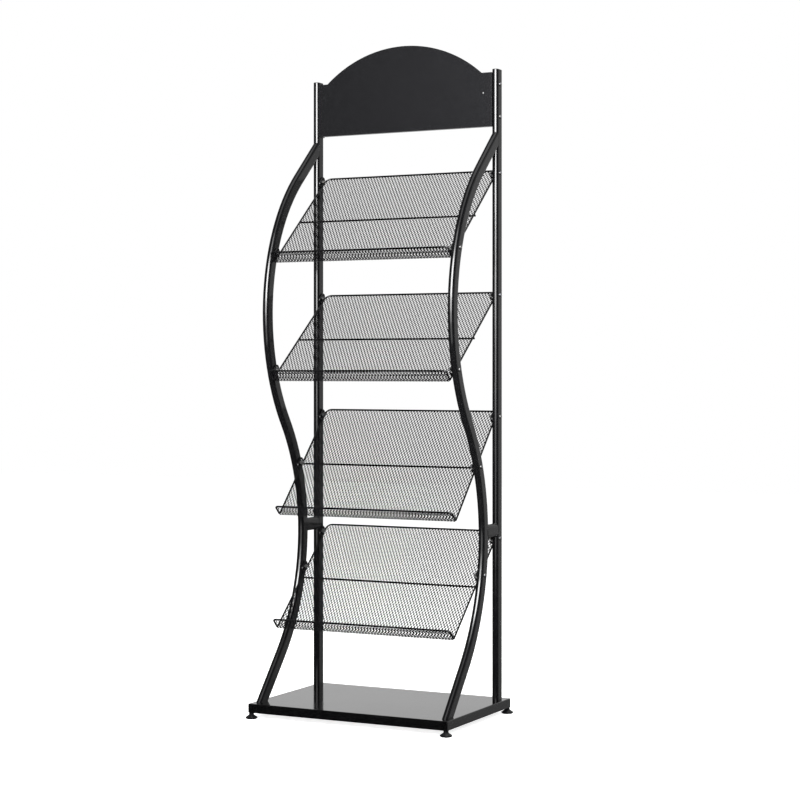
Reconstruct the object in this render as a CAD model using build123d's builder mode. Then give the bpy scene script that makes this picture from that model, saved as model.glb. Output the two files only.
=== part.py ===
from build123d import *
import math
import os

# Floor-standing newspaper rack. Millimetres, +X right, +Y back, +Z up.
# The origin is on the floor, under the middle of the rack.

os.makedirs("parts", exist_ok=True)

# ---------------------------------------------------------------- driving dimensions
SHEET = 1.2                 # sheet steel of the base and the header

# base tray and levelling feet
FLOOR_GAP = 13.5            # floor to the lower edge of the tray
SKIRT = 20.0
BASE_WIDTH = 484.0
BASE_DEPTH = 331.0
BEND_RADIUS = 1.8
FOOT_INSET_X = 5.7
FOOT_INSET_Y = 5.8
GUSSET_LEG = 42.0
GUSSET_THICKNESS = 2.0

# flat-oval tube of both side frames
TUBE_DEPTH = 30.0
TUBE_THICKNESS = 15.0
TUBE_WALL = 1.2
FRAME_WIDTH = 468.0         # outer face to outer face
UPRIGHT_Y = 126.0
UPRIGHT_TOP = 1433.0
CAP_HEIGHT = 2.0

# the front tube's centreline: straight, arc, counter-arc, straight
WAIST_Y = 52.4              # where the tube comes closest to the upright
WAIST_Z = 403.0
LOWER_RADIUS = 420.0
LOWER_LEAN = 40.6           # degrees from vertical where it meets the base
BULGE_Y = -106.0            # where the tube stands furthest forward above
UPPER_RADIUS = 415.0
UPPER_LEAN = 48.1           # degrees from vertical where it meets the upright
TIE_Z = 412.0
WELD_GAP = 0.02             # root gap where one tube is coped to another

# header board
HEADER_Y = 112.0
HEADER_BOTTOM = 1306.0
HEADER_SHOULDER = 1426.0
HEADER_TOP = 1500.0
ARCH_RADIUS = 294.0
HEADER_FLANGE = 28.0
HEADER_HEM = 12.0
HEADER_SCREW_Z = (1328.0, 1400.0)
HANGING_HOLE_X = 199.0
HANGING_HOLE_Z = 1381.0
HANGING_HOLE_RADIUS = 1.5

# shelves, from the top one down: the height of the screw holes in the upright and in
# the front tube, and how far the shelf reaches up the slope beyond the upper hole
SHELVES = (
    (1203.0, 1027.0, 23.5),
    (933.0, 767.0, 22.0),
    (663.0, 556.0, 24.0),
    (393.0, 318.5, 30.0),
)
WIRE = 4.0                  # wire diameter
MESH_THICKNESS = 0.8
SIDE_WIRE_X = 216.9
SHELF_DEPTH = 317.5         # top wire to fold, along the slope
MID_WIRE_DOWN = 163.5       # down the slope from the top wire
LIP = 26.2
TOP_CORNER_RADIUS = 13.0
LIP_CORNER_RADIUS = 6.0
FOLD_RADIUS = 4.0
MESH_FOLD_RADIUS = 3.0      # the mesh is folded sharper than the wire inside it
EYE_PITCH = 14.0            # between the two half circles of an eye
EYE_WIDTH = 11.0            # across an eye, wire centre to wire centre
EYE_SHIFT = 1.0             # an eye's middle lies this far down the slope from its screw

# fasteners
M5_RADIUS = 2.45
M5_THREAD_BORE = 2.5
M5_CLEARANCE = 2.8
M6_RADIUS = 2.95
M6_THREAD_BORE = 3.0
M6_CLEARANCE = 3.4
M8_RADIUS = 3.95
M8_THREAD_BORE = 4.0
M8_CLEARANCE = 4.5

# ---------------------------------------------------------------- derived places
BASE_TOP = FLOOR_GAP + SKIRT
TUBE_X = FRAME_WIDTH / 2 - TUBE_THICKNESS / 2
TUBE_INNER_X = FRAME_WIDTH / 2 - TUBE_THICKNESS
TUBE_OUTER_X = FRAME_WIDTH / 2
TUBE_ROUND = TUBE_THICKNESS / 2
BORE_DEPTH = TUBE_DEPTH - 2 * TUBE_WALL
BORE_THICKNESS = TUBE_THICKNESS - 2 * TUBE_WALL
UPRIGHT_FRONT_ROUND_Y = UPRIGHT_Y - TUBE_DEPTH / 2 + TUBE_ROUND
FOOT_X = BASE_WIDTH / 2 - FOOT_INSET_X
FOOT_Y = BASE_DEPTH / 2 - FOOT_INSET_Y
SIDES = ((-1, "left"), (1, "right"))

waist_centre = (WAIST_Y - LOWER_RADIUS, WAIST_Z)
centre_run = BULGE_Y + UPPER_RADIUS - waist_centre[0]
centre_rise = math.sqrt((LOWER_RADIUS + UPPER_RADIUS) ** 2 - centre_run**2)
bulge_centre = (BULGE_Y + UPPER_RADIUS, WAIST_Z + centre_rise)
inflection = math.degrees(math.atan2(centre_rise, centre_run))


def polar(centre, radius, degrees):
    angle = math.radians(degrees)
    return (centre[0] + radius * math.cos(angle), centre[1] + radius * math.sin(angle))


lower_tangent = polar(waist_centre, LOWER_RADIUS, -LOWER_LEAN)
upper_tangent = polar(bulge_centre, UPPER_RADIUS, 180 - UPPER_LEAN)
UNDER_BASE = 20.0           # the straight runs on below the base before it is cut
lower_drop = lower_tangent[1] - BASE_TOP + UNDER_BASE
lower_end = (
    lower_tangent[0] - lower_drop * math.tan(math.radians(LOWER_LEAN)),
    lower_tangent[1] - lower_drop,
)
FRONT_FOOT_Y = lower_end[0] + UNDER_BASE * math.tan(math.radians(LOWER_LEAN))
upper_run = UPRIGHT_Y - upper_tangent[0]
upper_end = (UPRIGHT_Y, upper_tangent[1] + upper_run / math.tan(math.radians(UPPER_LEAN)))
inflection_z = polar(waist_centre, LOWER_RADIUS, inflection)[1]


def front_tube_y(z):
    """Y of the front tube's centreline at a height on one of its two arcs."""
    if z > inflection_z:
        return bulge_centre[0] - math.sqrt(UPPER_RADIUS**2 - (z - bulge_centre[1]) ** 2)
    return waist_centre[0] + math.sqrt(LOWER_RADIUS**2 - (z - waist_centre[1]) ** 2)


def shelf_plane(rear_z, front_z):
    """Plane through a shelf's screw holes: local x is X, local y runs up the slope."""
    run = UPRIGHT_Y - front_tube_y(front_z)
    rise = rear_z - front_z
    return Plane(origin=(0, UPRIGHT_Y, rear_z), x_dir=(1, 0, 0), z_dir=(0, -rise, run))


def hole_span(rear_z, front_z):
    return math.hypot(UPRIGHT_Y - front_tube_y(front_z), rear_z - front_z)


# heights and depths, in (Y, Z), of every screw hole in one side frame
upright_holes = [(UPRIGHT_Y, rear_z) for rear_z, front_z, margin in SHELVES]
upright_holes += [(UPRIGHT_Y, z) for z in HEADER_SCREW_Z]
front_holes = [(front_tube_y(front_z), front_z) for rear_z, front_z, margin in SHELVES]

# ---------------------------------------------------------------- shared shapes
front_outer = {}
front_bore = {}
for side, name in SIDES:
    for solids, depth, thickness in (
        (front_outer, TUBE_DEPTH, TUBE_THICKNESS),
        (front_bore, BORE_DEPTH, BORE_THICKNESS),
    ):
        with BuildPart() as s_tube:
            with BuildLine(Plane.YZ.offset(side * TUBE_X)) as s_path:
                Line(lower_end, lower_tangent)
                CenterArc(waist_centre, LOWER_RADIUS, -LOWER_LEAN, LOWER_LEAN + inflection)
                CenterArc(
                    bulge_centre, UPPER_RADIUS, 180 + inflection, -(inflection + UPPER_LEAN)
                )
                Line(upper_tangent, upper_end)
            s_wire = s_path.wire()
            with BuildSketch(Plane(origin=s_wire @ 0, x_dir=(1, 0, 0), z_dir=s_wire % 0)):
                SlotOverall(depth, thickness, rotation=90)
            sweep(path=s_wire)
        solids[side] = s_tube.part

with BuildPart() as pan_screw:
    # M5 pan-head screw along Z, the underside of its head at the origin
    SCREW_LENGTH = 27.0
    HEAD_RADIUS = 4.75
    HEAD_HEIGHT = 3.0
    Cylinder(HEAD_RADIUS, HEAD_HEIGHT, align=(Align.CENTER, Align.CENTER, Align.MIN))
    fillet(pan_screw.faces().sort_by(Axis.Z)[-1].edges(), radius=2.2)
    Cylinder(M5_RADIUS, SCREW_LENGTH, align=(Align.CENTER, Align.CENTER, Align.MAX))
    with BuildSketch(Plane.XY.offset(HEAD_HEIGHT)):
        Rectangle(4.6, 1.1)
        Rectangle(1.1, 4.6)
    extrude(amount=-1.8, taper=12, mode=Mode.SUBTRACT)

with BuildPart() as m5_nut:
    # hexagon nut, its bearing face at the origin, its body below
    NUT_ACROSS_FLATS = 8.0
    NUT_HEIGHT = 4.0
    with BuildSketch():
        RegularPolygon(NUT_ACROSS_FLATS / 2, 6, major_radius=False)
        Circle(M5_THREAD_BORE, mode=Mode.SUBTRACT)
    extrude(amount=-NUT_HEIGHT)
    chamfer(m5_nut.edges().filter_by(GeomType.CIRCLE), length=0.3)


def facing_x(side, x, y, z):
    """A place whose local +Z points outwards from one side of the rack."""
    return Location((side * x, y, z), (0, side * 90, 0))


# ---------------------------------------------------------------- side frames
for side, name in SIDES:
    with BuildPart() as upright:
        with BuildSketch(Plane.XY.offset(BASE_TOP)):
            with Locations((side * TUBE_X, UPRIGHT_Y)):
                SlotOverall(TUBE_DEPTH, TUBE_THICKNESS, rotation=90)
                SlotOverall(BORE_DEPTH, BORE_THICKNESS, rotation=90, mode=Mode.SUBTRACT)
        extrude(amount=UPRIGHT_TOP - CAP_HEIGHT - BASE_TOP)
        with BuildSketch(Plane.YZ.offset(side * TUBE_X)):
            with Locations(*upright_holes):
                Circle(M5_CLEARANCE)
        extrude(amount=TUBE_THICKNESS, both=True, mode=Mode.SUBTRACT)
    upright.part.label = f"upright_{name}"
    export_step(upright.part, f"parts/upright_{name}.step")

    with BuildPart() as front_tube:
        add(front_outer[side])
        add(front_bore[side], mode=Mode.SUBTRACT)
        # the top end is coped to the upright's round front and welded there
        with BuildSketch():
            with Locations((side * TUBE_X, UPRIGHT_FRONT_ROUND_Y)):
                Circle(TUBE_ROUND + WELD_GAP)
                Rectangle(
                    2 * TUBE_THICKNESS, 2 * TUBE_DEPTH, align=(Align.CENTER, Align.MIN)
                )
        extrude(amount=UPRIGHT_TOP, mode=Mode.SUBTRACT)
        split(bisect_by=Plane.XY.offset(BASE_TOP), keep=Keep.TOP)
        with BuildSketch(Plane.YZ.offset(side * TUBE_X)):
            with Locations(*front_holes):
                Circle(M5_CLEARANCE)
        extrude(amount=TUBE_THICKNESS, both=True, mode=Mode.SUBTRACT)
    front_tube.part.label = f"front_tube_{name}"
    export_step(front_tube.part, f"parts/front_tube_{name}.step")

    with BuildPart() as tie_tube:
        with BuildSketch(Plane.XZ.offset(-WAIST_Y)):
            with Locations((side * TUBE_X, TIE_Z)):
                SlotOverall(TUBE_DEPTH, TUBE_THICKNESS, rotation=90)
                SlotOverall(BORE_DEPTH, BORE_THICKNESS, rotation=90, mode=Mode.SUBTRACT)
        extrude(amount=-(UPRIGHT_Y - WAIST_Y))
        add(front_outer[side], mode=Mode.SUBTRACT)
        with BuildSketch(Plane.XY.offset(TIE_Z)):
            with Locations((side * TUBE_X, UPRIGHT_Y)):
                SlotOverall(
                    TUBE_DEPTH + 2 * WELD_GAP, TUBE_THICKNESS + 2 * WELD_GAP, rotation=90
                )
        extrude(amount=TUBE_DEPTH, both=True, mode=Mode.SUBTRACT)
    tie_tube.part.label = f"tie_tube_{name}"
    export_step(tie_tube.part, f"parts/tie_tube_{name}.step")

PLUG_HEIGHT = 18.0
CAP_PLUG = 16.0
CAP_FIT = 0.1               # the cap's plug stands this far inside the bore
both_tubes = [(-TUBE_X, UPRIGHT_Y), (TUBE_X, UPRIGHT_Y)]

with BuildPart() as upright_caps:
    with BuildSketch(Plane.XY.offset(UPRIGHT_TOP - CAP_HEIGHT)):
        with Locations(*both_tubes):
            SlotOverall(TUBE_DEPTH, TUBE_THICKNESS, rotation=90)
    extrude(amount=CAP_HEIGHT)
    fillet(upright_caps.faces().group_by(Axis.Z)[-1].edges(), radius=1.2)
    with BuildSketch(Plane.XY.offset(UPRIGHT_TOP - CAP_HEIGHT)):
        with Locations(*both_tubes):
            SlotOverall(BORE_DEPTH - 2 * CAP_FIT, BORE_THICKNESS - 2 * CAP_FIT, rotation=90)
    extrude(amount=-CAP_PLUG)
upright_caps.part.label = "upright_caps"
export_step(upright_caps.part, "parts/upright_caps.step")

with BuildPart() as tube_plugs:
    # threaded steel plugs welded into the lower ends of all four tubes
    with BuildSketch(Plane.XY.offset(BASE_TOP)):
        with Locations(*both_tubes):
            SlotOverall(BORE_DEPTH, BORE_THICKNESS, rotation=90)
    extrude(amount=PLUG_HEIGHT)
    for side, name in SIDES:
        with BuildPart(mode=Mode.PRIVATE) as slanted_plug:
            add(front_bore[side])
            split(bisect_by=Plane.XY.offset(BASE_TOP), keep=Keep.TOP)
            split(bisect_by=Plane.XY.offset(BASE_TOP + PLUG_HEIGHT), keep=Keep.BOTTOM)
        add(slanted_plug.part)
    with BuildSketch(Plane.XY.offset(BASE_TOP)):
        with Locations(*both_tubes, (-TUBE_X, FRONT_FOOT_Y), (TUBE_X, FRONT_FOOT_Y)):
            Circle(M8_THREAD_BORE)
    extrude(amount=PLUG_HEIGHT, mode=Mode.SUBTRACT)
tube_plugs.part.label = "tube_plugs"
export_step(tube_plugs.part, "parts/tube_plugs.step")

# ---------------------------------------------------------------- base
tube_feet = [(x, y) for x in (-TUBE_X, TUBE_X) for y in (FRONT_FOOT_Y, UPRIGHT_Y)]
BOLT_HEAD = 5.3
BOLT_ENGAGED = 14.0
WASHER_THICKNESS = 1.6
WASHER_RADIUS = 10.0
under_top = BASE_TOP - SHEET

with BuildPart() as base_tray:
    with BuildSketch(Plane.XY.offset(FLOOR_GAP)):
        RectangleRounded(BASE_WIDTH, BASE_DEPTH, BEND_RADIUS)
    extrude(amount=SKIRT)
    fillet(base_tray.faces().sort_by(Axis.Z)[-1].edges(), radius=BEND_RADIUS - 0.1)
    offset(amount=-SHEET, openings=base_tray.faces().sort_by(Axis.Z)[0])
    with BuildSketch(Plane.XY.offset(BASE_TOP)):
        with Locations(*tube_feet):
            Circle(M8_CLEARANCE)
    extrude(amount=-2 * SHEET, mode=Mode.SUBTRACT)
base_tray.part.label = "base_tray"
export_step(base_tray.part, "parts/base_tray.step")

with BuildPart() as base_washers:
    with BuildSketch(Plane.XY.offset(under_top)):
        with Locations(*tube_feet):
            Circle(WASHER_RADIUS)
            Circle(M8_CLEARANCE, mode=Mode.SUBTRACT)
    extrude(amount=-WASHER_THICKNESS)
base_washers.part.label = "base_washers"
export_step(base_washers.part, "parts/base_washers.step")

with BuildPart() as base_bolts:
    with BuildSketch(Plane.XY.offset(under_top - WASHER_THICKNESS)):
        with Locations(*tube_feet):
            RegularPolygon(6.5, 6, major_radius=False)
    extrude(amount=-BOLT_HEAD)
    with BuildSketch(Plane.XY.offset(under_top - WASHER_THICKNESS)):
        with Locations(*tube_feet):
            Circle(M8_RADIUS)
    extrude(amount=WASHER_THICKNESS + SHEET + BOLT_ENGAGED)
base_bolts.part.label = "base_bolts"
export_step(base_bolts.part, "parts/base_bolts.step")

GUSSET_GAP = 0.2
BUSHING_RADIUS = 4.2
BUSHING_HEIGHT = 5.0
gusset_x = BASE_WIDTH / 2 - SHEET - GUSSET_GAP
gusset_y = BASE_DEPTH / 2 - SHEET - GUSSET_GAP
corners = [(sx, sy) for sx in (-1, 1) for sy in (-1, 1)]
foot_places = [(sx * FOOT_X, sy * FOOT_Y) for sx, sy in corners]

with BuildPart() as corner_gussets:
    with BuildSketch(Plane.XY.offset(FLOOR_GAP)):
        for sx, sy in corners:
            with BuildLine():
                Polyline(
                    (sx * gusset_x, sy * gusset_y),
                    (sx * (gusset_x - GUSSET_LEG), sy * gusset_y),
                    (sx * gusset_x, sy * (gusset_y - GUSSET_LEG)),
                    close=True,
                )
            make_face()
        with Locations(*foot_places):
            Circle(M6_CLEARANCE, mode=Mode.SUBTRACT)
    extrude(amount=GUSSET_THICKNESS)
    fillet(corner_gussets.edges().filter_by(Axis.Z).group_by(Axis.Z)[0], radius=1.0)
corner_gussets.part.label = "corner_gussets"
export_step(corner_gussets.part, "parts/corner_gussets.step")

with BuildPart() as foot_nuts:
    # round threaded bushings welded on the gussets
    with BuildSketch(Plane.XY.offset(FLOOR_GAP + GUSSET_THICKNESS)):
        with Locations(*foot_places):
            Circle(BUSHING_RADIUS)
            Circle(M6_THREAD_BORE, mode=Mode.SUBTRACT)
    extrude(amount=BUSHING_HEIGHT)
foot_nuts.part.label = "foot_nuts"
export_step(foot_nuts.part, "parts/foot_nuts.step")

# levelling feet: a swivel pad on a screwed stud, the stud's collar held in the pad
PAD_RADIUS = 13.6
PAD_BOTTOM_RADIUS = 11.2
NECK_RADIUS = 5.5
PAD_TOP = FLOOR_GAP - 0.4
COLLAR_BOTTOM = 4.5
COLLAR_TOP = 6.5
COLLAR_RADIUS = 4.2
STUD_TOP = 31.0
PLAY = 0.05

for (x, y), corner in zip(foot_places, ("front_left", "rear_left", "front_right", "rear_right")):
    with BuildPart() as foot_pad:
        with BuildSketch(Plane.XZ.offset(-y)):
            with BuildLine():
                Polyline(
                    (x, 0),
                    (x + PAD_BOTTOM_RADIUS, 0),
                    (x + PAD_RADIUS, 2.4),
                    (x + PAD_RADIUS, 3.6),
                    (x + NECK_RADIUS + 0.9, 8.6),
                    (x + NECK_RADIUS, 9.6),
                    (x + NECK_RADIUS, PAD_TOP),
                    (x, PAD_TOP),
                    close=True,
                )
            make_face()
            with BuildLine():
                Polyline(
                    (x, COLLAR_BOTTOM - PLAY),
                    (x + COLLAR_RADIUS + PLAY, COLLAR_BOTTOM - PLAY),
                    (x + COLLAR_RADIUS + PLAY, COLLAR_TOP + PLAY),
                    (x + M6_THREAD_BORE, COLLAR_TOP + PLAY),
                    (x + M6_THREAD_BORE, PAD_TOP),
                    (x, PAD_TOP),
                    close=True,
                )
            make_face(mode=Mode.SUBTRACT)
        revolve(axis=Axis((x, y, 0), (0, 0, 1)))
    foot_pad.part.label = f"foot_pad_{corner}"
    export_step(foot_pad.part, f"parts/foot_pad_{corner}.step")

    with BuildPart() as foot_stud:
        with BuildSketch(Plane.XY.offset(COLLAR_BOTTOM)):
            with Locations((x, y)):
                Circle(COLLAR_RADIUS)
        extrude(amount=COLLAR_TOP - COLLAR_BOTTOM)
        with BuildSketch(Plane.XY.offset(COLLAR_BOTTOM)):
            with Locations((x, y)):
                Circle(M6_RADIUS)
        extrude(amount=STUD_TOP - COLLAR_BOTTOM)
        chamfer(foot_stud.faces().sort_by(Axis.Z)[-1].edges(), length=0.6)
        # screwdriver slot in the upper end
        with BuildSketch(Plane.XY.offset(STUD_TOP)):
            with Locations((x, y)):
                Rectangle(2 * M6_RADIUS, 1.2)
        extrude(amount=-2.0, mode=Mode.SUBTRACT)
    foot_stud.part.label = f"foot_stud_{corner}"
    export_step(foot_stud.part, f"parts/foot_stud_{corner}.step")

# ---------------------------------------------------------------- header board
arch_half = math.sqrt(ARCH_RADIUS**2 - (ARCH_RADIUS - HEADER_TOP + HEADER_SHOULDER) ** 2)
flange_height = HEADER_SHOULDER - HEADER_BOTTOM

with BuildPart() as header_board:
    with BuildSketch(Plane.XZ.offset(-HEADER_Y)):
        with BuildLine():
            Polyline(
                (-arch_half, HEADER_SHOULDER),
                (-TUBE_INNER_X, HEADER_SHOULDER),
                (-TUBE_INNER_X, HEADER_BOTTOM),
                (TUBE_INNER_X, HEADER_BOTTOM),
                (TUBE_INNER_X, HEADER_SHOULDER),
                (arch_half, HEADER_SHOULDER),
            )
            ThreePointArc(
                (arch_half, HEADER_SHOULDER), (0, HEADER_TOP), (-arch_half, HEADER_SHOULDER)
            )
        make_face()
        with Locations((HANGING_HOLE_X, HANGING_HOLE_Z)):
            Circle(HANGING_HOLE_RADIUS, mode=Mode.SUBTRACT)
    extrude(amount=-SHEET)
    # side flanges, folded back
    with BuildSketch(Plane.XY.offset(HEADER_BOTTOM)):
        for side, name in SIDES:
            with Locations((side * (TUBE_INNER_X - SHEET / 2), HEADER_Y)):
                Rectangle(SHEET, HEADER_FLANGE, align=(Align.CENTER, Align.MIN))
    extrude(amount=flange_height)
    front_bends = header_board.edges().filter_by(Axis.Z).group_by(Axis.Y)[0]
    fillet(front_bends.filter_by(lambda e: e.length > flange_height / 2), radius=BEND_RADIUS)
    with BuildSketch(Plane.YZ):
        with Locations(*[(UPRIGHT_Y, z) for z in HEADER_SCREW_Z]):
            Circle(M5_CLEARANCE)
    extrude(amount=TUBE_X, both=True, mode=Mode.SUBTRACT)
header_board.part.label = "header_board"
export_step(header_board.part, "parts/header_board.step")

with BuildPart() as header_hem:
    # stiffening strip welded in behind the lower edge, between the flanges
    with BuildSketch(Plane.XY.offset(HEADER_BOTTOM)):
        with Locations((0, HEADER_Y + SHEET + WELD_GAP)):
            Rectangle(
                2 * (TUBE_INNER_X - SHEET - WELD_GAP),
                HEADER_HEM - SHEET,
                align=(Align.CENTER, Align.MIN),
            )
    extrude(amount=SHEET)
header_hem.part.label = "header_hem"
export_step(header_hem.part, "parts/header_hem.step")

with BuildPart() as header_screws:
    with Locations(
        *[facing_x(side, TUBE_OUTER_X, UPRIGHT_Y, z) for side, name in SIDES for z in HEADER_SCREW_Z]
    ):
        add(pan_screw.part)
header_screws.part.label = "header_screws"
export_step(header_screws.part, "parts/header_screws.step")

with BuildPart() as header_nuts:
    with Locations(
        *[
            facing_x(side, TUBE_INNER_X - SHEET, UPRIGHT_Y, z)
            for side, name in SIDES
            for z in HEADER_SCREW_Z
        ]
    ):
        add(m5_nut.part)
header_nuts.part.label = "header_nuts"
export_step(header_nuts.part, "parts/header_nuts.step")

# ---------------------------------------------------------------- shelves
wire_radius = WIRE / 2
wire_level = -(EYE_WIDTH / 2 + WIRE)      # the frame wire lies below the line of the holes
mesh_level = wire_level - wire_radius     # upper face of the mesh, under the frame wire
mid_wire_level = mesh_level - MESH_THICKNESS - wire_radius
nut_face_x = SIDE_WIRE_X - wire_radius
MID_WIRE_HALF = 218.5

for number, (rear_z, front_z, top_up) in enumerate(SHELVES, start=1):
    slope = shelf_plane(rear_z, front_z)
    fold = top_up - SHELF_DEPTH
    span = hole_span(rear_z, front_z)
    hole_places = [(UPRIGHT_Y, rear_z), (front_tube_y(front_z), front_z)]

    with BuildPart() as shelf_frame:
        # one half of the closed wire, from the middle of the top to the middle of the lip
        with BuildLine(slope) as half_wire:
            FilletPolyline(
                (0, top_up, wire_level),
                (SIDE_WIRE_X, top_up, wire_level),
                (SIDE_WIRE_X, fold, wire_level),
                (SIDE_WIRE_X, fold, wire_level + LIP),
                (0, fold, wire_level + LIP),
                radius=(TOP_CORNER_RADIUS, FOLD_RADIUS, LIP_CORNER_RADIUS),
            )
        half = half_wire.wire()
        with BuildSketch(Plane(origin=half @ 0, z_dir=half % 0)):
            Circle(wire_radius)
        sweep(path=half)
        mirror(about=Plane.YZ)
    shelf_frame.part.label = f"shelf_{number}_frame"
    export_step(shelf_frame.part, f"parts/shelf_{number}_frame.step")

    with BuildPart() as shelf_mid_wire:
        mid_place = slope.from_local_coords((0, top_up - MID_WIRE_DOWN, mid_wire_level))
        with BuildSketch(Plane.YZ):
            with Locations((mid_place.Y, mid_place.Z)):
                Circle(wire_radius)
        extrude(amount=MID_WIRE_HALF, both=True)
    shelf_mid_wire.part.label = f"shelf_{number}_mid_wire"
    export_step(shelf_mid_wire.part, f"parts/shelf_{number}_mid_wire.step")

    with BuildPart() as shelf_mesh:
        # expanded metal as a closed sheet, folded round the outside of the frame wire
        profile_plane = Plane(origin=slope.origin, x_dir=slope.y_dir, z_dir=(1, 0, 0))
        with BuildSketch(profile_plane):
            with BuildLine():
                inner_face = FilletPolyline(
                    (top_up, mesh_level),
                    (fold - wire_radius, mesh_level),
                    (fold - wire_radius, wire_level + LIP),
                    radius=MESH_FOLD_RADIUS,
                )
                offset(inner_face, amount=MESH_THICKNESS, side=Side.LEFT, closed=True)
            make_face()
        extrude(amount=SIDE_WIRE_X, both=True)
        sheet_corners = shelf_mesh.edges().filter_by(
            lambda e: abs(e.length - MESH_THICKNESS) < 0.01
        )
        fillet(sheet_corners.group_by(Axis.Z)[-1], radius=TOP_CORNER_RADIUS)
        lip_corners = shelf_mesh.edges().filter_by(
            lambda e: abs(e.length - MESH_THICKNESS) < 0.01
        )
        fillet(lip_corners.group_by(Axis.Z)[0], radius=LIP_CORNER_RADIUS)
    shelf_mesh.part.label = f"shelf_{number}_mesh"
    export_step(shelf_mesh.part, f"parts/shelf_{number}_mesh.step")

    with BuildPart() as shelf_eyes:
        for side, name in SIDES:
            eye_plane = Plane(
                origin=slope.origin + Vector(side * SIDE_WIRE_X, 0, 0),
                x_dir=slope.y_dir,
                z_dir=(1, 0, 0),
            )
            for down in (EYE_SHIFT, EYE_SHIFT + span):
                with BuildSketch(eye_plane, mode=Mode.PRIVATE) as eye_outline:
                    with Locations((-down, 0)):
                        SlotCenterToCenter(EYE_PITCH, EYE_WIDTH)
                eye_wire = eye_outline.sketch.face().outer_wire()
                with BuildSketch(Plane(origin=eye_wire @ 0, z_dir=eye_wire % 0)):
                    Circle(wire_radius)
                sweep(path=eye_wire)
    shelf_eyes.part.label = f"shelf_{number}_eyes"
    export_step(shelf_eyes.part, f"parts/shelf_{number}_eyes.step")

    with BuildPart() as shelf_screws:
        with Locations(
            *[facing_x(side, TUBE_OUTER_X, y, z) for side, name in SIDES for y, z in hole_places]
        ):
            add(pan_screw.part)
    shelf_screws.part.label = f"shelf_{number}_screws"
    export_step(shelf_screws.part, f"parts/shelf_{number}_screws.step")

    with BuildPart() as shelf_nuts:
        with Locations(
            *[facing_x(side, nut_face_x, y, z) for side, name in SIDES for y, z in hole_places]
        ):
            add(m5_nut.part)
    shelf_nuts.part.label = f"shelf_{number}_nuts"
    export_step(shelf_nuts.part, f"parts/shelf_{number}_nuts.step")
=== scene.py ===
import math
import random

import bpy
from mathutils import Matrix, Vector


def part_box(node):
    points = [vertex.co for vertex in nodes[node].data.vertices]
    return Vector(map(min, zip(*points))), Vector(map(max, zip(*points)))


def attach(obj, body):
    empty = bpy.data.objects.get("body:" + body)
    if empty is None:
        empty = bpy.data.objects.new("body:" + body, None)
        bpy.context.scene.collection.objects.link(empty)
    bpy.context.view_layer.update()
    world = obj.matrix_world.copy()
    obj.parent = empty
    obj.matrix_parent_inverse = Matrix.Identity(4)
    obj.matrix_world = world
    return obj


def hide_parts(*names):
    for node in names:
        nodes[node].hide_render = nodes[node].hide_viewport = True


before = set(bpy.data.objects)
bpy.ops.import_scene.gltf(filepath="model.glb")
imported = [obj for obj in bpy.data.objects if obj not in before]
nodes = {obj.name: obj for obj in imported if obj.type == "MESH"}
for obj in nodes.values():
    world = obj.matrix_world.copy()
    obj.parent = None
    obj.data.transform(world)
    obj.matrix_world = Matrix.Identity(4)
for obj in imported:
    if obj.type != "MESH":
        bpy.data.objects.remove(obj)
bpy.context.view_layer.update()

scene = bpy.context.scene
MM = 0.001
rng = random.Random(7)


# ---------------------------------------------------------------- node trees
class Tree:
    """A node tree, with short ways to add and join nodes."""

    def __init__(self, owner):
        owner.use_nodes = True
        self.tree = owner.node_tree

    def add(self, kind, **settings):
        node = self.tree.nodes.new(kind)
        for key, value in settings.items():
            setattr(node, key, value)
        return node

    def join(self, output, socket):
        self.tree.links.new(output, socket)

    def remap(self, value, low, high, to_low, to_high, smooth=False):
        node = self.add("ShaderNodeMapRange")
        if smooth:
            node.interpolation_type = "SMOOTHSTEP"
        self.join(value, node.inputs["Value"])
        for key, number in (
            ("From Min", low), ("From Max", high), ("To Min", to_low), ("To Max", to_high)
        ):
            node.inputs[key].default_value = number
        return node.outputs["Result"]

    def math(self, operation, a, b):
        node = self.add("ShaderNodeMath", operation=operation)
        for socket, value in zip(node.inputs, (a, b)):
            if isinstance(value, (int, float)):
                socket.default_value = value
            else:
                self.join(value, socket)
        return node.outputs[0]

    def blend(self, factor, first, second):
        node = self.add("ShaderNodeMix", data_type="RGBA")
        self.join(factor, node.inputs["Factor"])
        for socket, value in ((node.inputs["A"], first), (node.inputs["B"], second)):
            if isinstance(value, tuple):
                socket.default_value = (*value, 1.0)
            else:
                self.join(value, socket)
        return node.outputs["Result"]


class Finish(Tree):
    """A new material's node tree. Its patterns lie in the object's own coordinates."""

    def __init__(self, name):
        self.material = bpy.data.materials.new(name)
        super().__init__(self.material)
        self.shader = self.tree.nodes["Principled BSDF"]
        self.place = self.add("ShaderNodeTexCoord").outputs["Object"]

    def set(self, **values):
        for key, value in values.items():
            self.shader.inputs[key.replace("_", " ")].default_value = value

    def drive(self, **outputs):
        for key, output in outputs.items():
            self.join(output, self.shader.inputs[key.replace("_", " ")])

    def noise(self, scale, detail, roughness):
        node = self.add("ShaderNodeTexNoise")
        node.inputs["Scale"].default_value = scale
        node.inputs["Detail"].default_value = detail
        node.inputs["Roughness"].default_value = roughness
        self.join(self.place, node.inputs["Vector"])
        return node.outputs["Fac"]

    def bump(self, height, strength, distance, below=None):
        node = self.add("ShaderNodeBump")
        node.inputs["Strength"].default_value = strength
        node.inputs["Distance"].default_value = distance
        self.join(height, node.inputs["Height"])
        if below:
            self.join(below, node.inputs["Normal"])
        return node.outputs["Normal"]

    def facing_up(self):
        geometry = self.add("ShaderNodeNewGeometry")
        split = self.add("ShaderNodeSeparateXYZ")
        self.join(geometry.outputs["Normal"], split.inputs["Vector"])
        return split.outputs["Z"]


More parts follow.
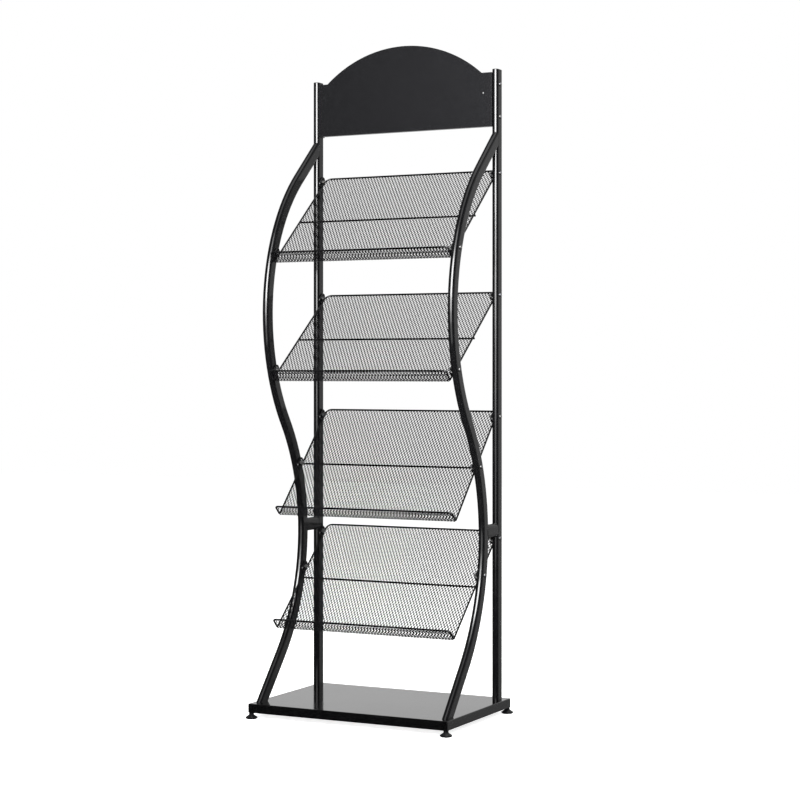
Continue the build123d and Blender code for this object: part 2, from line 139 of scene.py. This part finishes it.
# ---------------------------------------------------------------- materials
DUST = (0.29, 0.29, 0.30)
PAINT_DUST = 0.006                  # the dust's greatest share of the colour
PLASTIC_DUST = 0.012
PEEL_DEPTH = 0.4 * MM
GRAIN_DEPTH = 0.1 * MM
PAINT_IOR = 1.5
PLASTIC_IOR = 1.49


def paint(name, colour, gloss, peel, peel_size, mottling=1.5):
    """Black powder coat: orange peel, uneven gloss, faint mottling, dust on what faces up."""
    t = Finish(name)
    lighter = tuple(c * mottling for c in colour)
    speck = tuple(c * 2.5 + 0.003 for c in colour)
    mottle = t.noise(scale=38, detail=5, roughness=0.62)
    clouds = t.noise(scale=5.5, detail=3, roughness=0.55)
    specks = t.noise(scale=1900, detail=1, roughness=0.5)
    tone = t.blend(t.remap(mottle, 0.35, 0.7, 0.0, 1.0), colour, lighter)
    tone = t.blend(t.remap(specks, 0.74, 0.8, 0.0, 0.5), tone, speck)
    settled = t.remap(t.facing_up(), 0.75, 1.0, 0.0, PAINT_DUST, smooth=True)
    dust_share = t.math("MULTIPLY", settled, t.remap(clouds, 0.35, 0.72, 0.15, 1.0))
    tone = t.blend(dust_share, tone, DUST)
    rough = t.remap(clouds, 0.25, 0.75, gloss - 0.02, gloss + 0.03)
    rough = t.math("ADD", rough, t.remap(mottle, 0.3, 0.75, -0.012, 0.02))
    rough = t.math("ADD", rough, t.math("MULTIPLY", dust_share, 2.0))
    waves = t.bump(t.noise(peel_size, detail=2, roughness=0.5), peel, PEEL_DEPTH)
    fine = t.noise(peel_size * 5.5, detail=2, roughness=0.6)
    grain = t.bump(fine, peel * 0.3, GRAIN_DEPTH, below=waves)
    t.drive(Base_Color=tone, Roughness=rough, Normal=grain)
    t.set(IOR=PAINT_IOR, Metallic=0.0)
    return t.material


def zinc_plate(name):
    """Bright zinc plating with a faint blue and straw cast, stains and fine drawing marks."""
    t = Finish(name)
    blue, straw, stain = (0.15, 0.155, 0.175), (0.19, 0.185, 0.17), (0.10, 0.095, 0.09)
    cast = t.noise(scale=120, detail=3, roughness=0.5)
    stains = t.noise(scale=700, detail=4, roughness=0.65)
    tone = t.blend(t.remap(cast, 0.3, 0.7, 0.0, 1.0), blue, straw)
    tone = t.blend(t.remap(stains, 0.55, 0.8, 0.0, 0.5), tone, stain)
    rough = t.remap(stains, 0.3, 0.75, 0.38, 0.55)
    marks = t.bump(t.noise(scale=2600, detail=3, roughness=0.6), 0.25, 0.08 * MM)
    t.drive(Base_Color=tone, Roughness=rough, Normal=marks)
    t.set(Metallic=1.0)
    return t.material


def bare_steel(name):
    """Unpainted steel with brown stains."""
    t = Finish(name)
    steel, rust = (0.34, 0.33, 0.32), (0.20, 0.15, 0.11)
    stains = t.noise(scale=260, detail=5, roughness=0.6)
    tone = t.blend(t.remap(stains, 0.4, 0.7, 0.0, 1.0), steel, rust)
    rough = t.remap(stains, 0.3, 0.7, 0.35, 0.6)
    marks = t.bump(t.noise(scale=1500, detail=3, roughness=0.6), 0.3, GRAIN_DEPTH)
    t.drive(Base_Color=tone, Roughness=rough, Normal=marks)
    t.set(Metallic=1.0)
    return t.material


def plastic(name, colour, gloss, grain_size):
    """Injection-moulded plastic: spark-eroded grain, uneven sheen, pale rubbed spots."""
    t = Finish(name)
    lighter = tuple(c * 2.0 + 0.001 for c in colour)
    rubbed = t.noise(scale=90, detail=5, roughness=0.6)
    tone = t.blend(t.remap(rubbed, 0.45, 0.75, 0.0, 1.0), colour, lighter)
    settled = t.remap(t.facing_up(), 0.5, 1.0, 0.0, PLASTIC_DUST, smooth=True)
    tone = t.blend(settled, tone, DUST)
    rough = t.remap(rubbed, 0.3, 0.7, gloss - 0.06, gloss + 0.08)
    grain = t.bump(t.noise(grain_size, detail=2, roughness=0.6), 0.2, GRAIN_DEPTH)
    t.drive(Base_Color=tone, Roughness=rough, Normal=grain)
    t.set(IOR=PLASTIC_IOR)
    return t.material


finishes = {
    "frame_paint": paint(
        "frame_gloss_black", (0.0022, 0.0022, 0.0024), gloss=0.12, peel=0.009, peel_size=260
    ),
    "board_paint": paint(
        "board_satin_black", (0.0092, 0.0092, 0.01), gloss=0.20, peel=0.02, peel_size=420,
        mottling=1.08,
    ),
    "wire_paint": paint(
        "wire_gloss_black", (0.0020, 0.0020, 0.0022), gloss=0.18, peel=0.08, peel_size=500
    ),
    "mesh_paint": paint(
        "mesh_gloss_black", (0.0022, 0.0021, 0.0027), gloss=0.24, peel=0.08, peel_size=700
    ),
    "zinc": zinc_plate("bright_zinc"),
    "bare_steel": bare_steel("bare_steel_finish"),
    "cap_plastic": plastic(
        "cap_moulded_black", (0.006, 0.006, 0.0065), gloss=0.34, grain_size=1400
    ),
    "foot_plastic": plastic(
        "foot_moulded_black", (0.003, 0.003, 0.0034), gloss=0.13, grain_size=1300
    ),
}
base_finish = paint(
    "base_gloss_black", (0.0024, 0.0024, 0.0026), gloss=0.10, peel=0.02, peel_size=380,
    mottling=1.3,
)

for node in nodes.values():
    for material_slot in node.material_slots:
        material_slot.material = finishes[material_slot.material.name]
nodes["base_tray"].material_slots[0].material = base_finish


def new_mesh(name, vertices, faces, slot_name, smooth):
    mesh = bpy.data.meshes.new(name)
    mesh.from_pydata(vertices, [], faces)
    mesh.materials.append(finishes[slot_name])
    if smooth:
        mesh.polygons.foreach_set("use_smooth", [True] * len(mesh.polygons))
    mesh.update()
    return mesh


def piece(name, mesh):
    """An object for a mesh; it still has to be placed and ridden."""
    obj = bpy.data.objects.new(name, mesh)
    scene.collection.objects.link(obj)
    return obj


# ---------------------------------------------------------------- where the shelves lie
# Sizes that part.py also has.
WIRE_RADIUS = 2 * MM
SHELF_DEPTH = 317.5 * MM            # from the top wire to the fold, wire centre to wire centre
LIP = 26.2 * MM
FOLD_INNER = 3 * MM                 # inside radius of the mesh at the fold
SHEET_THICKNESS = 0.8 * MM
MID_WIRE_DOWN = 163.5 * MM          # from the top wire to the middle wire
HOLE_TO_WIRE = 9.5 * MM             # the frame wire runs this far under the screws' line
HOLE_FROM_NUT_TOP = Vector((0, 4.0 * MM, 4.6188 * MM))   # half an M5 nut, flats and corners


class Shelf:
    """A shelf's plane: local x is X, local y runs up the slope, z is its normal."""

    def __init__(self, number):
        self.number = number
        low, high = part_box(f"shelf_{number}_nuts")
        rear = high - HOLE_FROM_NUT_TOP
        front = low + HOLE_FROM_NUT_TOP
        self.tilt = math.atan2(rear.z - front.z, rear.y - front.y)
        self.span = math.hypot(rear.z - front.z, rear.y - front.y)
        frame_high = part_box(f"shelf_{number}_frame")[1]
        self.half_width = frame_high.x - WIRE_RADIUS
        reach = frame_high.y - WIRE_RADIUS - rear.y - HOLE_TO_WIRE * math.sin(self.tilt)
        self.top = reach / math.cos(self.tilt)
        self.matrix = Matrix.Translation((0, rear.y, rear.z)) @ Matrix.Rotation(
            self.tilt, 4, "X"
        )

    def at(self, x, up, out):
        return self.matrix @ Vector((x, up, out))


shelves = [Shelf(number) for number in (1, 2, 3, 4)]

# ---------------------------------------------------------------- expanded metal
STRAND_PITCH = 3.7 * MM
DIAMOND_LENGTH = 12.0 * MM
BOND_LENGTH = 2.0 * MM              # where two strands run side by side
STRAND_WIDTH = 1.76 * MM
STRAND_THICKNESS = 0.3 * MM
STRAND_TWIST = math.radians(-4)
STRAND_TO_WIRE = 1.5 * MM           # the outermost strand stays this far inside the side wires
TOP_CORNER = 13 * MM
LIP_CORNER = 6 * MM
ARC_STEPS = 6
KNOT_GAP = 0.3 * MM                 # a knot nearer than this to a strand's end is left out

mid_level = -(HOLE_TO_WIRE + WIRE_RADIUS + SHEET_THICKNESS / 2)
fold_radius = FOLD_INNER + SHEET_THICKNESS / 2
straight_run = SHELF_DEPTH + WIRE_RADIUS - FOLD_INNER
arc_run = fold_radius * math.pi / 2
lip_run = LIP - HOLE_TO_WIRE - (mid_level + fold_radius)
sheet_run = straight_run + arc_run + lip_run


def on_sheet(run):
    """Place and outward normal, in (up the slope, out), at a distance from the top wire."""
    if run <= straight_run:
        return (-run, mid_level), (0.0, 1.0)
    if run >= straight_run + arc_run:
        along = run - straight_run - arc_run
        return (-straight_run - fold_radius, mid_level + fold_radius + along), (1.0, 0.0)
    turn = (run - straight_run) / fold_radius
    centre = (-straight_run, mid_level + fold_radius)
    return (
        (centre[0] - fold_radius * math.sin(turn), centre[1] - fold_radius * math.cos(turn)),
        (math.sin(turn), math.cos(turn)),
    )


def swing(run):
    """-1 to 1: how far a strand has swung towards its neighbour, level along each bond."""
    half = DIAMOND_LENGTH / 2
    count = math.floor(run / half)
    within = run - count * half
    sign = 1 if count % 2 == 0 else -1
    if within <= BOND_LENGTH:
        return sign
    return sign * (1 - 2 * (within - BOND_LENGTH) / (half - BOND_LENGTH))


def corner_cut(x, half_width, radius):
    """How much a rounded corner shortens the strand at this x."""
    beyond = abs(x) - (half_width - radius)
    if beyond <= 0:
        return 0.0
    return radius - math.sqrt(max(radius**2 - beyond**2, 0.0))


def sheet_knots():
    """Every distance from the top wire at which a strand bends."""
    knots = []
    count = 0
    while count * DIAMOND_LENGTH / 2 < sheet_run:
        knots.append(count * DIAMOND_LENGTH / 2)
        knots.append(count * DIAMOND_LENGTH / 2 + BOND_LENGTH)
        count += 1
    return knots + [straight_run + arc_run * step / ARC_STEPS for step in range(ARC_STEPS + 1)]


def expanded_sheet(half_width):
    """Every strand of the expanded metal, from the top wire down and round the lip."""
    swing_x = (STRAND_PITCH - STRAND_WIDTH * math.cos(STRAND_TWIST)) / 2
    swing_out = STRAND_WIDTH / 2 * math.sin(STRAND_TWIST)
    knots = sheet_knots()
    strands = int((half_width - STRAND_TO_WIRE) / STRAND_PITCH)
    vertices = []
    faces = []
    for strand in range(-strands, strands + 1):
        x = strand * STRAND_PITCH
        sign = 1 if strand % 2 == 0 else -1
        start = corner_cut(x, half_width, TOP_CORNER)
        end = sheet_run - corner_cut(x, half_width, LIP_CORNER)
        inner = (knot for knot in knots if start + KNOT_GAP < knot < end - KNOT_GAP)
        runs = sorted({start, end, *inner})
        first = len(vertices)
        for run in runs:
            place, normal = on_sheet(run)
            lean = sign * swing(run)
            middle_x = x + swing_x * lean
            out = -swing_out * lean
            for across, through in ((-1, -1), (1, -1), (1, 1), (-1, 1)):
                a = across * STRAND_WIDTH / 2
                b = through * STRAND_THICKNESS / 2
                dx = a * math.cos(STRAND_TWIST) - b * math.sin(STRAND_TWIST)
                dn = out + a * math.sin(STRAND_TWIST) + b * math.cos(STRAND_TWIST)
                vertices.append(
                    (middle_x + dx, place[0] + dn * normal[0], place[1] + dn * normal[1])
                )
        for step in range(len(runs) - 1):
            here = first + 4 * step
            for corner in range(4):
                after = (corner + 1) % 4
                faces.append((here + corner, here + 4 + corner, here + 4 + after, here + after))
        last = len(vertices) - 4
        faces.append((first, first + 1, first + 2, first + 3))
        faces.append((last + 3, last + 2, last + 1, last))
    return vertices, faces


sheet_mesh = new_mesh(
    "expanded_metal", *expanded_sheet(shelves[0].half_width), "mesh_paint", smooth=False
)
for shelf in shelves:
    sheet = piece(f"shelf_{shelf.number}_expanded_metal", sheet_mesh)
    sheet.matrix_world = shelf.matrix @ Matrix.Translation((0, shelf.top, 0))
    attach(sheet, "rack")
    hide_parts(f"shelf_{shelf.number}_mesh")

# ---------------------------------------------------------------- weld beads
TUBE_ROUND = 7.5 * MM               # the flat-oval tube's round, half its width
SECTION_HALF = 15 * MM              # half its height
FRONT_LEAN = math.radians(48.1)     # of the front tube's upper end, from the vertical
WAIST_RADIUS = 420 * MM
WAIST_UNDER_TIE = 9 * MM            # the front tube comes nearest this far under the tie tube
TIE_EDGE_BEND = 0.32 * MM           # the front tube's curve at the tie tube's foremost edge
COPE_SHARE = 0.95                   # keeps the cope's bead inside the tube's flat sides
TUBE_BEAD_POINTS = 72
POINTS_PER_RIPPLE = 4
UNEVENNESS = 0.07
END_SHARE = 0.05                    # an open bead's ends keep at least this share of its girth
COPE_BEAD = {"radius": 0.6 * MM, "ripple": 0.05}
TIE_BEAD = {"radius": 0.9 * MM, "ripple": 0.08}
EYE_BEAD = {"radius": 0.95 * MM, "ripple": 0.08, "sides": 7}
WIRE_NUGGET = {"radius": 1.1 * MM, "ripple": 0.0, "sides": 7}
EYE_FROM_HOLE = 1 * MM              # an eye's weld is centred this far down the slope
EYE_SEAM_STEP = 0.9 * MM
EYE_SEAM_APART = 1.1 * MM
NUGGET_STEP = 0.5 * MM
NUGGET_APART = 1.2 * MM


def slot_outline(steps):
    """Points (across, along) round a flat-oval tube's section, evenly in length."""
    straight = SECTION_HALF - TUBE_ROUND
    total = 4 * straight + 2 * math.pi * TUBE_ROUND
    points = []
    for step in range(steps):
        run = total * step / steps
        if run < 2 * straight:
            points.append((TUBE_ROUND, run - straight))
            continue
        run -= 2 * straight
        if run < math.pi * TUBE_ROUND:
            turn = run / TUBE_ROUND
            points.append((TUBE_ROUND * math.cos(turn), straight + TUBE_ROUND * math.sin(turn)))
            continue
        run -= math.pi * TUBE_ROUND
        if run < 2 * straight:
            points.append((-TUBE_ROUND, straight - run))
            continue
        turn = (run - 2 * straight) / TUBE_ROUND
        points.append((-TUBE_ROUND * math.cos(turn), -straight - TUBE_ROUND * math.sin(turn)))
    return points


class Beads:
    """Weld beads gathered into one mesh."""

    def __init__(self):
        self.vertices = []
        self.faces = []

    def add(self, path, closed, radius, ripple, sides=8):
        """One bead along a path, its girth rippled the way a welding torch leaves it."""
        first = len(self.vertices)
        count = len(path)
        for index, point in enumerate(path):
            ahead = path[(index + 1) % count] if closed or index < count - 1 else point
            behind = path[index - 1] if closed or index > 0 else point
            tangent = (ahead - behind).normalized()
            if abs(tangent.x) > 0.9:
                side = tangent.orthogonal()
            else:
                side = tangent.cross(Vector((1, 0, 0)))
            side.normalize()
            over = tangent.cross(side)
            phase = index * 2 * math.pi / POINTS_PER_RIPPLE
            swell = 1 + ripple * math.sin(phase) + rng.uniform(-UNEVENNESS, UNEVENNESS)
            if not closed:
                swell *= math.sqrt(max(math.sin(math.pi * (index + 0.5) / count), END_SHARE))
            for corner in range(sides):
                angle = 2 * math.pi * corner / sides
                offset = side * math.cos(angle) + over * math.sin(angle)
                self.vertices.append(point + offset * radius * swell)
        rings = count if closed else count - 1
        for ring in range(rings):
            here = first + ring * sides
            there = first + ((ring + 1) % count) * sides
            for corner in range(sides):
                after = (corner + 1) % sides
                self.faces.append((here + corner, here + after, there + after, there + corner))
        if not closed:
            last = first + (count - 1) * sides
            self.faces.append(tuple(first + corner for corner in reversed(range(sides))))
            self.faces.append(tuple(last + corner for corner in range(sides)))

    def finish(self, name, slot_name):
        """Makes the mesh a smooth piece that rides on the rack."""
        mesh = new_mesh(name, self.vertices, self.faces, slot_name, smooth=True)
        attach(piece(name, mesh), "rack")


cos_lean = math.cos(FRONT_LEAN)
sin_lean = math.sin(FRONT_LEAN)
tube_welds = Beads()
for side_name in ("left", "right"):
    low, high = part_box(f"upright_{side_name}")
    upright_x = (low.x + high.x) / 2
    cope_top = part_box(f"front_tube_{side_name}")[1].z
    tie_low, tie_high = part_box(f"tie_tube_{side_name}")
    tie_z = (tie_low.z + tie_high.z) / 2
    waist_z = tie_z - WAIST_UNDER_TIE
    cope_path = []
    rear_path = []
    front_path = []
    for across, along in slot_outline(TUBE_BEAD_POINTS):
        hollow = TUBE_ROUND - math.sqrt(max(TUBE_ROUND**2 - across**2, 0.0))
        y = low.y + hollow
        axis = (hollow + (along - SECTION_HALF) * cos_lean) / sin_lean
        z = cope_top + axis * cos_lean + (along - SECTION_HALF) * sin_lean
        cope_path.append(Vector((upright_x + COPE_SHARE * across, y, z)))
        rear_path.append(Vector((upright_x + across, y, tie_z + along)))
        bend = (tie_z + along - waist_z) ** 2 / (2 * WAIST_RADIUS)
        back = tie_low.y + TIE_EDGE_BEND + TUBE_ROUND - hollow - bend
        front_path.append(Vector((upright_x + across, back, tie_z + along)))
    tube_welds.add(cope_path, True, **COPE_BEAD)
    tube_welds.add(rear_path, True, **TIE_BEAD)
    tube_welds.add(front_path, True, **TIE_BEAD)
tube_welds.finish("tube_weld_beads", "frame_paint")

for shelf in shelves:
    wire_welds = Beads()
    mid_up = shelf.top - MID_WIRE_DOWN
    wire_top = -HOLE_TO_WIRE + WIRE_RADIUS
    for x in (-shelf.half_width, shelf.half_width):
        for up in (-EYE_FROM_HOLE, -(EYE_FROM_HOLE + shelf.span)):
            for edge in (x - EYE_SEAM_APART, x + EYE_SEAM_APART):
                seam = [
                    shelf.at(edge, up + step * EYE_SEAM_STEP, wire_top) for step in range(-6, 7)
                ]
                wire_welds.add(seam, False, **EYE_BEAD)
        for edge in (mid_up - NUGGET_APART, mid_up + NUGGET_APART):
            nugget = [shelf.at(x + step * NUGGET_STEP, edge, mid_level) for step in range(-3, 4)]
            wire_welds.add(nugget, False, **WIRE_NUGGET)
    wire_welds.finish(f"shelf_{shelf.number}_wire_welds", "wire_paint")

# ---------------------------------------------------------------- camera
# Place, turn, lens and shift were fitted to the straight edges of the photographed rack.
camera_data = bpy.data.cameras.new("camera")
camera_data.lens = 88.56
camera_data.sensor_width = 36.0
camera_data.shift_x = 0.0303
camera_data.shift_y = -0.0373
camera_data.clip_start = 0.05
camera_data.clip_end = 60.0
camera = bpy.data.objects.new("camera", camera_data)
camera.location = (1.9941, -3.8761, 0.7658)
camera.rotation_euler = (math.radians(90), 0, math.radians(27.357))
scene.collection.objects.link(camera)
scene.camera = camera

# ---------------------------------------------------------------- floor
FLOOR_HALF = 8
FLOOR_GLOW = 0.85

floor_mesh = bpy.data.meshes.new("floor")
floor_mesh.from_pydata(
    [(x * FLOOR_HALF, y * FLOOR_HALF, 0) for x, y in ((-1, -1), (1, -1), (1, 1), (-1, 1))],
    [],
    [(0, 1, 2, 3)],
)
floor = bpy.data.objects.new("floor", floor_mesh)
scene.collection.objects.link(floor)
floor.visible_glossy = False
floor_finish = Finish("floor_white")
floor_clouds = floor_finish.noise(scale=1.2, detail=4, roughness=0.5)
floor_finish.drive(
    Base_Color=floor_finish.blend(floor_clouds, (0.80, 0.80, 0.80), (0.84, 0.84, 0.83))
)
floor_finish.set(
    Roughness=0.9, Specular_IOR_Level=0.0, Emission_Color=(1, 1, 1, 1),
    Emission_Strength=FLOOR_GLOW,
)
floor_mesh.materials.append(floor_finish.material)

# ---------------------------------------------------------------- light
SOFTBOX_LEFT = -0.20
SOFTBOX_RIGHT = 2.60
SOFTBOX_Y = -2.75
SOFTBOXES = (                       # bottom, top, radiance
    (0.02, 0.62, 1.8), (0.62, 0.95, 5.0), (0.95, 1.35, 12.0), (1.35, 2.65, 26.0),
    (2.65, 3.05, 14.0), (3.05, 4.15, 4.5), (4.15, 6.0, 1.2),
)
GLARE = 10.0                        # panels brighter than this would whiten base, board and mesh
BOARD_LIGHT_SIZE = 0.7
BOARD_LIGHT_WATTS = 50.0


def area_light(name, place, turn, size, watts, shape="RECTANGLE"):
    """A soft light that the camera doesn't see."""
    data = bpy.data.lights.new(name, "AREA")
    data.shape = shape
    data.size, data.size_y = size
    data.energy = watts
    light = bpy.data.objects.new(name, data)
    light.location = place
    light.rotation_euler = [math.radians(angle) for angle in turn]
    light.visible_camera = False
    scene.collection.objects.link(light)
    return light


def watts_of(radiance, size):
    return radiance * math.pi * size[0] * size[1]


spared = bpy.data.collections.new("spared_from_glare")
for name in ("base_tray", "header_board", "header_hem"):
    spared.objects.link(nodes[name])
for shelf in shelves:
    spared.objects.link(bpy.data.objects[f"shelf_{shelf.number}_expanded_metal"])
for entry in spared.collection_objects:
    entry.light_linking.link_state = "EXCLUDE"

for bottom, top, radiance in SOFTBOXES:
    size = (SOFTBOX_RIGHT - SOFTBOX_LEFT, top - bottom)
    place = ((SOFTBOX_LEFT + SOFTBOX_RIGHT) / 2, SOFTBOX_Y, (bottom + top) / 2)
    panel = area_light("softbox", place, (90, 0, 0), size, watts_of(radiance, size))
    if radiance > GLARE:
        panel.light_linking.receiver_collection = spared

size = (4.0, 4.6)
area_light("ceiling_bounce", (1.0, -0.6, 6.0), (0, 0, 0), size, watts_of(1.2, size))
size = (2.6, 2.0)
floor_bounce = area_light(
    "floor_bounce", (0.6, -1.25, 0.01), (180, 0, 0), size, watts_of(1.4, size)
)
floor_bounce.visible_glossy = False

size = (BOARD_LIGHT_SIZE, BOARD_LIGHT_SIZE)
board_light = area_light(
    "board_light", (1.0, -0.75, 1.5), (90, 0, 40), size, BOARD_LIGHT_WATTS, "DISK"
)
board_light.visible_glossy = False
board_only = bpy.data.collections.new("board_only")
board_only.objects.link(nodes["header_board"])
board_light.light_linking.receiver_collection = board_only

# ---------------------------------------------------------------- world
# White to the camera. To everything else it is dark in front and pale behind, and dimmer
# to the right and below.
world = bpy.data.worlds.new("studio")
scene.world = world
sky = Tree(world)
axes = sky.add("ShaderNodeSeparateXYZ")
sky.join(sky.add("ShaderNodeTexCoord").outputs["Generated"], axes.inputs["Vector"])
backdrop = sky.add("ShaderNodeValToRGB")
sky.join(axes.outputs["Y"], backdrop.inputs["Fac"])
stops = backdrop.color_ramp.elements
stops[0].position = 0.12
stops[0].color = (0.02, 0.02, 0.02, 1)
stops[1].position = 0.86
stops[1].color = (0.91, 0.91, 0.91, 1)
stops.new(0.5).color = (0.45, 0.45, 0.45, 1)
side_share = sky.remap(axes.outputs["X"], -0.15, 0.3, 1.0, 0.55)
low_share = sky.remap(axes.outputs["Z"], -0.20, 0.0, 0.5, 1.0)
dimmed = sky.add("ShaderNodeVectorMath", operation="SCALE")
sky.join(backdrop.outputs["Color"], dimmed.inputs["Vector"])
sky.join(sky.math("MULTIPLY", side_share, low_share), dimmed.inputs["Scale"])
seen_by_camera = sky.add("ShaderNodeLightPath").outputs["Is Camera Ray"]
background = sky.tree.nodes["Background"]
sky.join(
    sky.blend(seen_by_camera, dimmed.outputs["Vector"], (1.0, 1.0, 1.0)),
    background.inputs["Color"],
)
background.inputs["Strength"].default_value = 1.0

scene.view_settings.view_transform = "Standard"
scene.view_settings.look = "None"
